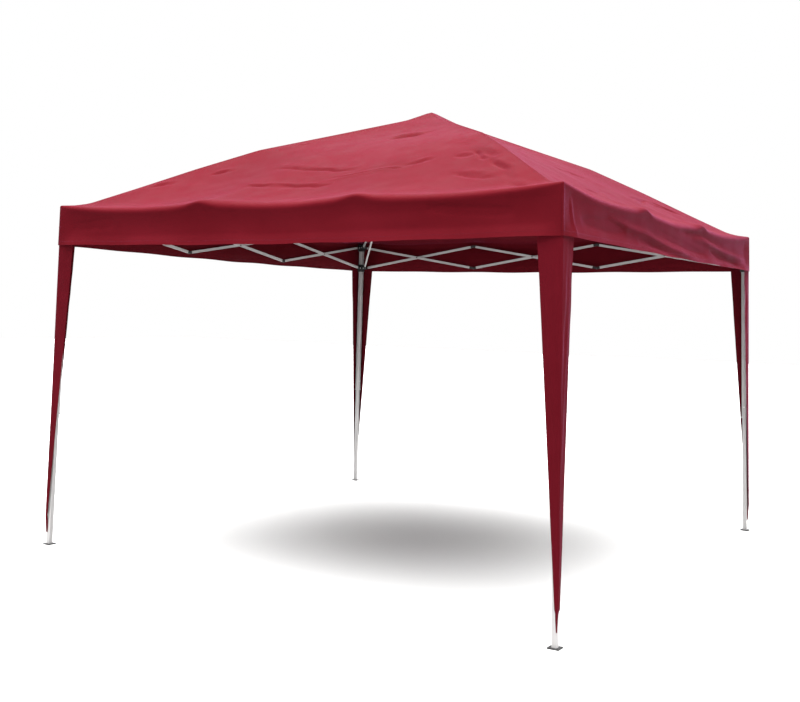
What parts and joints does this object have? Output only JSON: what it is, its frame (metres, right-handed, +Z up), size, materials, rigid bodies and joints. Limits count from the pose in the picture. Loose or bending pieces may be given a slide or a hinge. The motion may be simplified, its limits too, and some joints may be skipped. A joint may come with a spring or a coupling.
{
  "type": "pop up gazebo",
  "caption": "Square pop up gazebo with a hipped fabric canopy, folding scissor truss, telescopic legs and tapered fabric leg covers.",
  "frame": {"origin": "on the ground under the peak, at the centre of the four legs", "axes": "+Z up, +X and +Y along the sides of the square"},
  "size_m": [3, 3, 2.51],
  "materials": {
    "canopy_fabric": "woven polyester, burgundy",
    "cover_fabric": "woven polyester, burgundy",
    "white_steel": "powder coated, satin",
    "black_plastic": "moulded nylon",
    "zinc_steel": "zinc plated"
  },
  "bodies": {
    "hub": {"canopy": "canopy_fabric", "peak_hub": "black_plastic", "hub_hinge_pins": "zinc_steel", "peak_cap": "black_plastic"},
    "inner_rafter_front_left": {"inner_rafter_front_left": "white_steel"},
    "outer_rafter_front_left": {"outer_rafter_front_left": "white_steel"},
    "leg_front_left": {"outer_leg_front_left": "white_steel", "leg_cover_front_left": "cover_fabric"},
    "lower_leg_front_left": {"inner_leg_front_left": "white_steel"},
    "button_front_left": {"snap_button_front_left": "zinc_steel"},
    "slider_front_left": {"slider_front_left": "black_plastic"},
    "strut_front_left": {"rafter_strut_front_left": "white_steel"},
    "front_bar_1_falling": {"front_bar_1_falling": "white_steel"},
    "front_bar_1_rising": {"front_bar_1_rising": "white_steel"},
    "front_bar_2_falling": {"front_bar_2_falling": "white_steel"},
    "left_bar_3_rising": {"left_bar_3_rising": "white_steel"},
    "left_bar_3_falling": {"left_bar_3_falling": "white_steel"},
    "left_bar_2_rising": {"left_bar_2_rising": "white_steel"},
    "inner_rafter_front_right": {"inner_rafter_front_right": "white_steel"},
    "outer_rafter_front_right": {"outer_rafter_front_right": "white_steel"},
    "leg_front_right": {"outer_leg_front_right": "white_steel", "leg_cover_front_right": "cover_fabric"},
    "lower_leg_front_right": {"inner_leg_front_right": "white_steel"},
    "button_front_right": {"snap_button_front_right": "zinc_steel"},
    "slider_front_right": {"slider_front_right": "black_plastic"},
    "strut_front_right": {"rafter_strut_front_right": "white_steel"},
    "right_bar_1_falling": {"right_bar_1_falling": "white_steel"},
    "right_bar_1_rising": {"right_bar_1_rising": "white_steel"},
    "right_bar_2_falling": {"right_bar_2_falling": "white_steel"},
    "front_bar_3_rising": {"front_bar_3_rising": "white_steel"},
    "front_bar_3_falling": {"front_bar_3_falling": "white_steel"},
    "front_bar_2_rising": {"front_bar_2_rising": "white_steel"},
    "inner_rafter_back_right": {"inner_rafter_back_right": "white_steel"},
    "outer_rafter_back_right": {"outer_rafter_back_right": "white_steel"},
    "leg_back_right": {"outer_leg_back_right": "white_steel", "leg_cover_back_right": "cover_fabric"},
    "lower_leg_back_right": {"inner_leg_back_right": "white_steel"},
    "button_back_right": {"snap_button_back_right": "zinc_steel"},
    "slider_back_right": {"slider_back_right": "black_plastic"},
    "strut_back_right": {"rafter_strut_back_right": "white_steel"},
    "back_bar_1_falling": {"back_bar_1_falling": "white_steel"},
    "back_bar_1_rising": {"back_bar_1_rising": "white_steel"},
    "back_bar_2_falling": {"back_bar_2_falling": "white_steel"},
    "right_bar_3_rising": {"right_bar_3_rising": "white_steel"},
    "right_bar_3_falling": {"right_bar_3_falling": "white_steel"},
    "right_bar_2_rising": {"right_bar_2_rising": "white_steel"},
    "inner_rafter_back_left": {"inner_rafter_back_left": "white_steel"},
    "outer_rafter_back_left": {"outer_rafter_back_left": "white_steel"},
    "leg_back_left": {"outer_leg_back_left": "white_steel", "leg_cover_back_left": "cover_fabric"},
    "lower_leg_back_left": {"inner_leg_back_left": "white_steel"},
    "button_back_left": {"snap_button_back_left": "zinc_steel"},
    "slider_back_left": {"slider_back_left": "black_plastic"},
    "strut_back_left": {"rafter_strut_back_left": "white_steel"},
    "left_bar_1_falling": {"left_bar_1_falling": "white_steel"},
    "left_bar_1_rising": {"left_bar_1_rising": "white_steel"},
    "left_bar_2_falling": {"left_bar_2_falling": "white_steel"},
    "back_bar_3_rising": {"back_bar_3_rising": "white_steel"},
    "back_bar_3_falling": {"back_bar_3_falling": "white_steel"},
    "back_bar_2_rising": {"back_bar_2_rising": "white_steel"}
  },
  "joints": [
    {"name": "roof_fold", "type": "hinge", "parent": "hub", "child": "inner_rafter_front_left", "pos_m": [-0.03182, -0.03182, 2.442], "axis": [0.7071, -0.7071, 0], "range_deg": [0, 74.92], "deforming": ["canopy"]},
    {"name": "elbow_front_left", "type": "hinge", "parent": "inner_rafter_front_left", "child": "outer_rafter_front_left", "pos_m": [-0.72832, -0.72832, 2.19], "axis": [0.7071, -0.7071, 0], "range_deg": [-185.25, 0]},
    {"name": "leg_top_hinge_front_left", "type": "hinge", "parent": "outer_rafter_front_left", "child": "leg_front_left", "pos_m": [-1.43361, -1.43361, 1.8], "axis": [0.7071, -0.7071, 0], "range_deg": [0, 110.33]},
    {"name": "front_bar_1_falling_hinge", "type": "hinge", "parent": "leg_front_left", "child": "front_bar_1_falling", "pos_m": [-1.4375, -1.4725, 1.8], "axis": [0, 1, 0], "range_deg": [0, 78.47]},
    {"name": "front_bar_1_rising_hinge", "type": "hinge", "parent": "front_bar_1_falling", "child": "front_bar_1_rising", "pos_m": [-0.95833, -1.4725, 1.72], "axis": [0, 1, 0], "range_deg": [-156.43, 0]},
    {"name": "front_bar_2_falling_hinge", "type": "hinge", "parent": "front_bar_1_rising", "child": "front_bar_2_falling", "pos_m": [-0.47917, -1.4725, 1.8], "axis": [0, 1, 0], "range_deg": [0, 156.43]},
    {"name": "slider_hinge_front_left", "type": "hinge", "parent": "front_bar_1_rising", "child": "slider_front_left", "pos_m": [-1.4375, -1.4725, 1.64], "axis": [0, 1, 0], "range_deg": [0, 78.47]},
    {"name": "left_bar_3_rising_hinge", "type": "hinge", "parent": "leg_front_left", "child": "left_bar_3_rising", "pos_m": [-1.4725, -1.4375, 1.8], "axis": [-1, 0, 0], "range_deg": [0, 78.47]},
    {"name": "left_bar_3_falling_hinge", "type": "hinge", "parent": "left_bar_3_rising", "child": "left_bar_3_falling", "pos_m": [-1.4725, -0.95833, 1.72], "axis": [-1, 0, 0], "range_deg": [-156.43, 0]},
    {"name": "left_bar_2_rising_hinge", "type": "hinge", "parent": "left_bar_3_falling", "child": "left_bar_2_rising", "pos_m": [-1.4725, -0.47917, 1.8], "axis": [-1, 0, 0], "range_deg": [0, 156.43]},
    {"name": "strut_hinge_front_left", "type": "hinge", "parent": "slider_front_left", "child": "strut_front_left", "pos_m": [-1.43361, -1.43361, 1.64], "axis": [0.7071, -0.7071, 0], "range_deg": [0, 51.38]},
    {"name": "leg_extension_front_left", "type": "slide", "parent": "leg_front_left", "child": "lower_leg_front_left", "axis": [0, 0, 1], "range_m": [0, 0.68], "deforming": ["snap_button_front_left", "leg_cover_front_left"]},
    {"name": "snap_button_press_front_left", "type": "slide", "parent": "lower_leg_front_left", "child": "button_front_left", "axis": [0, -1, 0], "range_m": [0, 0.006], "stiffness_N_per_m": 800},
    {"name": "inner_rafter_hinge_front_right", "type": "hinge", "parent": "hub", "child": "inner_rafter_front_right", "pos_m": [0.03182, -0.03182, 2.442], "axis": [0.7071, 0.7071, 0], "range_deg": [0, 75.42]},
    {"name": "elbow_front_right", "type": "hinge", "parent": "inner_rafter_front_right", "child": "outer_rafter_front_right", "pos_m": [0.72832, -0.72832, 2.19], "axis": [0.7071, 0.7071, 0], "range_deg": [-185.25, 0]},
    {"name": "leg_top_hinge_front_right", "type": "hinge", "parent": "outer_rafter_front_right", "child": "leg_front_right", "pos_m": [1.43361, -1.43361, 1.8], "axis": [0.7071, 0.7071, 0], "range_deg": [0, 110.33]},
    {"name": "right_bar_1_falling_hinge", "type": "hinge", "parent": "leg_front_right", "child": "right_bar_1_falling", "pos_m": [1.4725, -1.4375, 1.8], "axis": [-1, 0, 0], "range_deg": [0, 78.47]},
    {"name": "right_bar_1_rising_hinge", "type": "hinge", "parent": "right_bar_1_falling", "child": "right_bar_1_rising", "pos_m": [1.4725, -0.95833, 1.72], "axis": [-1, 0, 0], "range_deg": [-156.43, 0]},
    {"name": "right_bar_2_falling_hinge", "type": "hinge", "parent": "right_bar_1_rising", "child": "right_bar_2_falling", "pos_m": [1.4725, -0.47917, 1.8], "axis": [-1, 0, 0], "range_deg": [0, 156.43]},
    {"name": "slider_hinge_front_right", "type": "hinge", "parent": "right_bar_1_rising", "child": "slider_front_right", "pos_m": [1.4725, -1.4375, 1.64], "axis": [-1, 0, 0], "range_deg": [0, 78.47]},
    {"name": "front_bar_3_rising_hinge", "type": "hinge", "parent": "leg_front_right", "child": "front_bar_3_rising", "pos_m": [1.4375, -1.4725, 1.8], "axis": [0, -1, 0], "range_deg": [0, 78.47]},
    {"name": "front_bar_3_falling_hinge", "type": "hinge", "parent": "front_bar_3_rising", "child": "front_bar_3_falling", "pos_m": [0.95833, -1.4725, 1.72], "axis": [0, -1, 0], "range_deg": [-156.43, 0]},
    {"name": "front_bar_2_rising_hinge", "type": "hinge", "parent": "front_bar_3_falling", "child": "front_bar_2_rising", "pos_m": [0.47917, -1.4725, 1.8], "axis": [0, -1, 0], "range_deg": [0, 156.43]},
    {"name": "strut_hinge_front_right", "type": "hinge", "parent": "slider_front_right", "child": "strut_front_right", "pos_m": [1.43361, -1.43361, 1.64], "axis": [0.7071, 0.7071, 0], "range_deg": [0, 51.38]},
    {"name": "leg_extension_front_right", "type": "slide", "parent": "leg_front_right", "child": "lower_leg_front_right", "axis": [0, 0, 1], "range_m": [0, 0.68], "deforming": ["snap_button_front_right", "leg_cover_front_right"]},
    {"name": "snap_button_press_front_right", "type": "slide", "parent": "lower_leg_front_right", "child": "button_front_right", "axis": [1, 0, 0], "range_m": [0, 0.006], "stiffness_N_per_m": 800},
    {"name": "inner_rafter_hinge_back_right", "type": "hinge", "parent": "hub", "child": "inner_rafter_back_right", "pos_m": [0.03182, 0.03182, 2.442], "axis": [-0.7071, 0.7071, 0], "range_deg": [0, 75.42]},
    {"name": "elbow_back_right", "type": "hinge", "parent": "inner_rafter_back_right", "child": "outer_rafter_back_right", "pos_m": [0.72832, 0.72832, 2.19], "axis": [-0.7071, 0.7071, 0], "range_deg": [-185.25, 0]},
    {"name": "leg_top_hinge_back_right", "type": "hinge", "parent": "outer_rafter_back_right", "child": "leg_back_right", "pos_m": [1.43361, 1.43361, 1.8], "axis": [-0.7071, 0.7071, 0], "range_deg": [0, 110.33]},
    {"name": "back_bar_1_falling_hinge", "type": "hinge", "parent": "leg_back_right", "child": "back_bar_1_falling", "pos_m": [1.4375, 1.4725, 1.8], "axis": [0, -1, 0], "range_deg": [0, 78.47]},
    {"name": "back_bar_1_rising_hinge", "type": "hinge", "parent": "back_bar_1_falling", "child": "back_bar_1_rising", "pos_m": [0.95833, 1.4725, 1.72], "axis": [0, -1, 0], "range_deg": [-156.43, 0]},
    {"name": "back_bar_2_falling_hinge", "type": "hinge", "parent": "back_bar_1_rising", "child": "back_bar_2_falling", "pos_m": [0.47917, 1.4725, 1.8], "axis": [0, -1, 0], "range_deg": [0, 156.43]},
    {"name": "slider_hinge_back_right", "type": "hinge", "parent": "back_bar_1_rising", "child": "slider_back_right", "pos_m": [1.4375, 1.4725, 1.64], "axis": [0, -1, 0], "range_deg": [0, 78.47]},
    {"name": "right_bar_3_rising_hinge", "type": "hinge", "parent": "leg_back_right", "child": "right_bar_3_rising", "pos_m": [1.4725, 1.4375, 1.8], "axis": [1, 0, 0], "range_deg": [0, 78.47]},
    {"name": "right_bar_3_falling_hinge", "type": "hinge", "parent": "right_bar_3_rising", "child": "right_bar_3_falling", "pos_m": [1.4725, 0.95833, 1.72], "axis": [1, 0, 0], "range_deg": [-156.43, 0]},
    {"name": "right_bar_2_rising_hinge", "type": "hinge", "parent": "right_bar_3_falling", "child": "right_bar_2_rising", "pos_m": [1.4725, 0.47917, 1.8], "axis": [1, 0, 0], "range_deg": [0, 156.43]},
    {"name": "strut_hinge_back_right", "type": "hinge", "parent": "slider_back_right", "child": "strut_back_right", "pos_m": [1.43361, 1.43361, 1.64], "axis": [-0.7071, 0.7071, 0], "range_deg": [0, 51.38]},
    {"name": "leg_extension_back_right", "type": "slide", "parent": "leg_back_right", "child": "lower_leg_back_right", "axis": [0, 0, 1], "range_m": [0, 0.68], "deforming": ["snap_button_back_right", "leg_cover_back_right"]},
    {"name": "snap_button_press_back_right", "type": "slide", "parent": "lower_leg_back_right", "child": "button_back_right", "axis": [0, 1, 0], "range_m": [0, 0.006], "stiffness_N_per_m": 800},
    {"name": "inner_rafter_hinge_back_left", "type": "hinge", "parent": "hub", "child": "inner_rafter_back_left", "pos_m": [-0.03182, 0.03182, 2.442], "axis": [-0.7071, -0.7071, 0], "range_deg": [0, 75.42]},
    {"name": "elbow_back_left", "type": "hinge", "parent": "inner_rafter_back_left", "child": "outer_rafter_back_left", "pos_m": [-0.72832, 0.72832, 2.19], "axis": [-0.7071, -0.7071, 0], "range_deg": [-185.25, 0]},
    {"name": "leg_top_hinge_back_left", "type": "hinge", "parent": "outer_rafter_back_left", "child": "leg_back_left", "pos_m": [-1.43361, 1.43361, 1.8], "axis": [-0.7071, -0.7071, 0], "range_deg": [0, 110.33]},
    {"name": "left_bar_1_falling_hinge", "type": "hinge", "parent": "leg_back_left", "child": "left_bar_1_falling", "pos_m": [-1.4725, 1.4375, 1.8], "axis": [1, 0, 0], "range_deg": [0, 78.47]},
    {"name": "left_bar_1_rising_hinge", "type": "hinge", "parent": "left_bar_1_falling", "child": "left_bar_1_rising", "pos_m": [-1.4725, 0.95833, 1.72], "axis": [1, 0, 0], "range_deg": [-156.43, 0]},
    {"name": "left_bar_2_falling_hinge", "type": "hinge", "parent": "left_bar_1_rising", "child": "left_bar_2_falling", "pos_m": [-1.4725, 0.47917, 1.8], "axis": [1, 0, 0], "range_deg": [0, 156.43]},
    {"name": "slider_hinge_back_left", "type": "hinge", "parent": "left_bar_1_rising", "child": "slider_back_left", "pos_m": [-1.4725, 1.4375, 1.64], "axis": [1, 0, 0], "range_deg": [0, 78.47]},
    {"name": "back_bar_3_rising_hinge", "type": "hinge", "parent": "leg_back_left", "child": "back_bar_3_rising", "pos_m": [-1.4375, 1.4725, 1.8], "axis": [0, 1, 0], "range_deg": [0, 78.47]},
    {"name": "back_bar_3_falling_hinge", "type": "hinge", "parent": "back_bar_3_rising", "child": "back_bar_3_falling", "pos_m": [-0.95833, 1.4725, 1.72], "axis": [0, 1, 0], "range_deg": [-156.43, 0]},
    {"name": "back_bar_2_rising_hinge", "type": "hinge", "parent": "back_bar_3_falling", "child": "back_bar_2_rising", "pos_m": [-0.47917, 1.4725, 1.8], "axis": [0, 1, 0], "range_deg": [0, 156.43]},
    {"name": "strut_hinge_back_left", "type": "hinge", "parent": "slider_back_left", "child": "strut_back_left", "pos_m": [-1.43361, 1.43361, 1.64], "axis": [-0.7071, -0.7071, 0], "range_deg": [0, 51.38]},
    {"name": "leg_extension_back_left", "type": "slide", "parent": "leg_back_left", "child": "lower_leg_back_left", "axis": [0, 0, 1], "range_m": [0, 0.68], "deforming": ["snap_button_back_left", "leg_cover_back_left"]},
    {"name": "snap_button_press_back_left", "type": "slide", "parent": "lower_leg_back_left", "child": "button_back_left", "axis": [-1, 0, 0], "range_m": [0, 0.006], "stiffness_N_per_m": 800}
  ],
  "couplings": [
    {"joint": "elbow_front_left", "follows": "roof_fold", "ratio": -2.4661},
    {"joint": "leg_top_hinge_front_left", "follows": "roof_fold", "ratio": 1.4661},
    {"joint": "front_bar_1_falling_hinge", "follows": "roof_fold", "ratio": 1.0407},
    {"joint": "front_bar_1_rising_hinge", "follows": "roof_fold", "ratio": -2.0814},
    {"joint": "front_bar_2_falling_hinge", "follows": "roof_fold", "ratio": 2.0814},
    {"joint": "slider_hinge_front_left", "follows": "roof_fold", "ratio": 1.0407},
    {"joint": "left_bar_3_rising_hinge", "follows": "roof_fold", "ratio": 1.0407},
    {"joint": "left_bar_3_falling_hinge", "follows": "roof_fold", "ratio": -2.0814},
    {"joint": "left_bar_2_rising_hinge", "follows": "roof_fold", "ratio": 2.0814},
    {"joint": "strut_hinge_front_left", "follows": "roof_fold", "ratio": 0.67912},
    {"joint": "inner_rafter_hinge_front_right", "follows": "roof_fold", "ratio": 1},
    {"joint": "elbow_front_right", "follows": "roof_fold", "ratio": -2.4661},
    {"joint": "leg_top_hinge_front_right", "follows": "roof_fold", "ratio": 1.4661},
    {"joint": "right_bar_1_falling_hinge", "follows": "roof_fold", "ratio": 1.0407},
    {"joint": "right_bar_1_rising_hinge", "follows": "roof_fold", "ratio": -2.0814},
    {"joint": "right_bar_2_falling_hinge", "follows": "roof_fold", "ratio": 2.0814},
    {"joint": "slider_hinge_front_right", "follows": "roof_fold", "ratio": 1.0407},
    {"joint": "front_bar_3_rising_hinge", "follows": "roof_fold", "ratio": 1.0407},
    {"joint": "front_bar_3_falling_hinge", "follows": "roof_fold", "ratio": -2.0814},
    {"joint": "front_bar_2_rising_hinge", "follows": "roof_fold", "ratio": 2.0814},
    {"joint": "strut_hinge_front_right", "follows": "roof_fold", "ratio": 0.67912},
    {"joint": "inner_rafter_hinge_back_right", "follows": "roof_fold", "ratio": 1},
    {"joint": "elbow_back_right", "follows": "roof_fold", "ratio": -2.4661},
    {"joint": "leg_top_hinge_back_right", "follows": "roof_fold", "ratio": 1.4661},
    {"joint": "back_bar_1_falling_hinge", "follows": "roof_fold", "ratio": 1.0407},
    {"joint": "back_bar_1_rising_hinge", "follows": "roof_fold", "ratio": -2.0814},
    {"joint": "back_bar_2_falling_hinge", "follows": "roof_fold", "ratio": 2.0814},
    {"joint": "slider_hinge_back_right", "follows": "roof_fold", "ratio": 1.0407},
    {"joint": "right_bar_3_rising_hinge", "follows": "roof_fold", "ratio": 1.0407},
    {"joint": "right_bar_3_falling_hinge", "follows": "roof_fold", "ratio": -2.0814},
    {"joint": "right_bar_2_rising_hinge", "follows": "roof_fold", "ratio": 2.0814},
    {"joint": "strut_hinge_back_right", "follows": "roof_fold", "ratio": 0.67912},
    {"joint": "inner_rafter_hinge_back_left", "follows": "roof_fold", "ratio": 1},
    {"joint": "elbow_back_left", "follows": "roof_fold", "ratio": -2.4661},
    {"joint": "leg_top_hinge_back_left", "follows": "roof_fold", "ratio": 1.4661},
    {"joint": "left_bar_1_falling_hinge", "follows": "roof_fold", "ratio": 1.0407},
    {"joint": "left_bar_1_rising_hinge", "follows": "roof_fold", "ratio": -2.0814},
    {"joint": "left_bar_2_falling_hinge", "follows": "roof_fold", "ratio": 2.0814},
    {"joint": "slider_hinge_back_left", "follows": "roof_fold", "ratio": 1.0407},
    {"joint": "back_bar_3_rising_hinge", "follows": "roof_fold", "ratio": 1.0407},
    {"joint": "back_bar_3_falling_hinge", "follows": "roof_fold", "ratio": -2.0814},
    {"joint": "back_bar_2_rising_hinge", "follows": "roof_fold", "ratio": 2.0814},
    {"joint": "strut_hinge_back_left", "follows": "roof_fold", "ratio": 0.67912}
  ]
}
